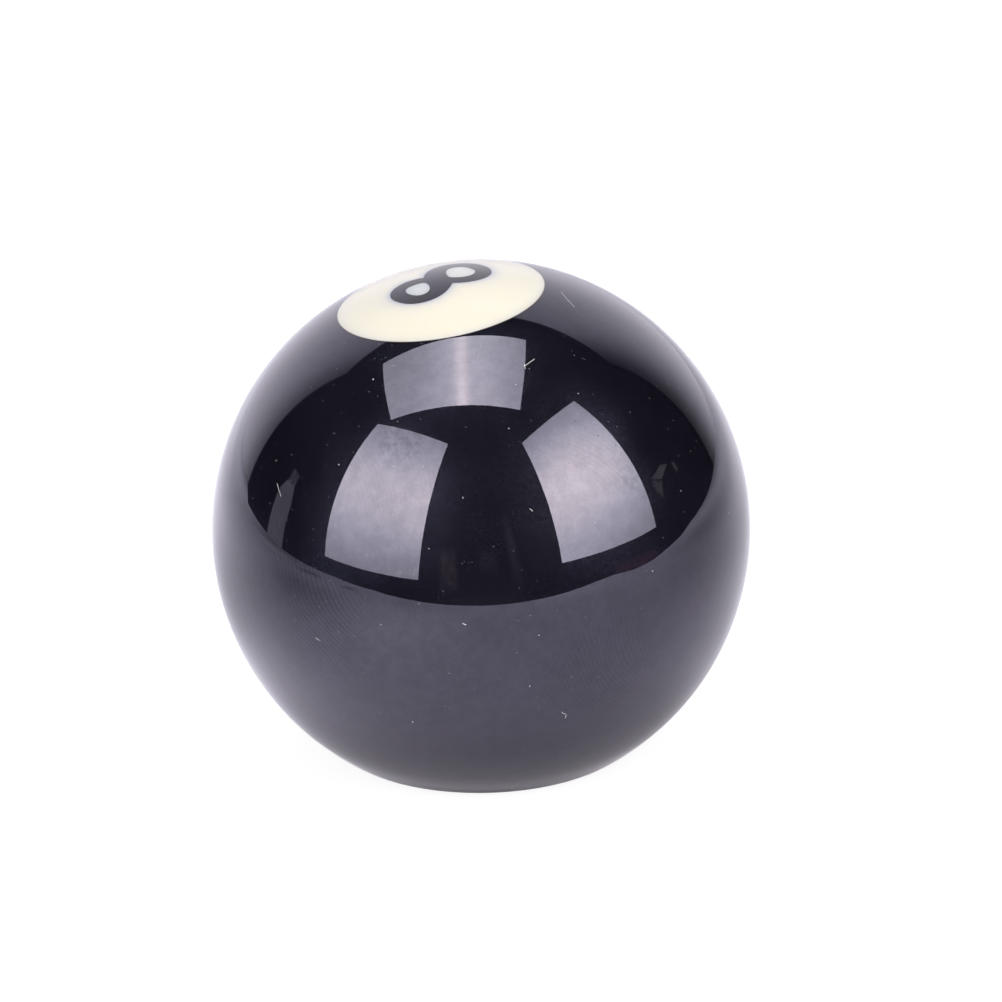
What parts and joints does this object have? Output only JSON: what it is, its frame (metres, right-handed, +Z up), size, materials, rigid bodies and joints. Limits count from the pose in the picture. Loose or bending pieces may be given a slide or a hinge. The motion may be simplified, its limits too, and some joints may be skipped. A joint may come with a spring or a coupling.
{
  "type": "numbered ball lever knob",
  "caption": "Glossy black number-eight ball with a flat base and a screwed adapter underneath, a knob for a gear lever.",
  "frame": {"origin": "centre of the flat base, on the lever's axis", "axes": "+Z up along the lever's axis to the top of the ball; the number leans 7.9 degrees towards -X; -Y is the front"},
  "size_m": [0.054, 0.054, 0.0491],
  "materials": {
    "black_resin": "cast resin polished to a wet gloss",
    "cream_resin": "cast resin polished flush with the ball",
    "insert_brass": "turned and knurled brass",
    "adapter_aluminium": "turned aluminium"
  },
  "bodies": {
    "adapter": {"thread_adapter": "adapter_aluminium"},
    "knob": {"ball_body": "black_resin", "number_disc": "cream_resin", "numeral_eight": "black_resin", "counter_large": "cream_resin", "counter_small": "cream_resin", "threaded_insert": "insert_brass"}
  },
  "joints": [
    {"name": "knob_unscrew", "type": "slide", "parent": "adapter", "child": "knob", "axis": [0, 0, 1], "range_m": [0, 0.018]}
  ]
}
